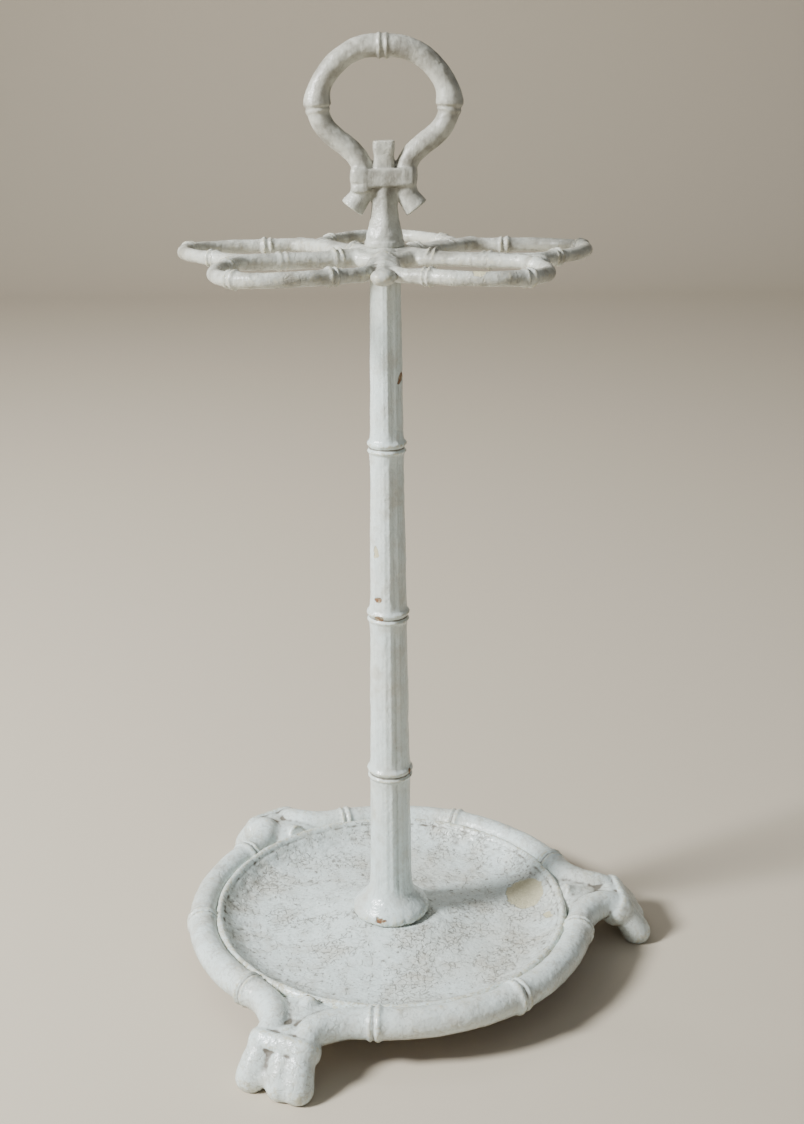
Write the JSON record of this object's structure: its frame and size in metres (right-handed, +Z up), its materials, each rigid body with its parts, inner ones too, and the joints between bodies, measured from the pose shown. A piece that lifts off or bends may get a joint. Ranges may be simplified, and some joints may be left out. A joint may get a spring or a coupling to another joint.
{
  "type": "stick and umbrella stand",
  "caption": "Free-standing cast iron stick stand shaped as bamboo canes, with a round drip pan, splayed feet, a column, a looped divider and a ring handle.",
  "frame": {"origin": "on the floor, at the centre of the bounding box; the column stands a little to one side of it, because of the three feet", "axes": "+Z up, -Y towards the viewer in front; the ring handle lies in a plane along X"},
  "size_m": [0.3443, 0.3506, 0.646],
  "materials": {
    "painted_iron": "old off-white paint over cast iron, half gloss, with dirt in the joints and small rust chips",
    "pan_paint": "old off-white paint over cast iron, finely crackled and speckled with dirt",
    "bare_iron": "unpainted iron with brown rust"
  },
  "bodies": {
    "root": {"base_pan": "pan_paint", "base_rim_1": "painted_iron", "base_rim_2": "painted_iron", "base_rim_3": "painted_iron", "base_foot_1": "painted_iron", "base_foot_2": "painted_iron", "base_foot_3": "painted_iron", "column": "painted_iron", "divider_hub": "painted_iron", "divider_spoke_1": "painted_iron", "divider_spoke_2": "painted_iron", "divider_spoke_3": "painted_iron", "divider_spoke_4": "painted_iron", "divider_spoke_5": "painted_iron", "divider_loop_1": "painted_iron", "divider_loop_2": "painted_iron", "divider_loop_3": "painted_iron", "divider_loop_4": "painted_iron", "divider_loop_5": "painted_iron", "handle_stem": "painted_iron", "handle_ring": "painted_iron", "handle_binding": "painted_iron", "tie_rod": "bare_iron", "tie_nut": "bare_iron", "tie_washer": "bare_iron"}
  },
  "joints": []
}
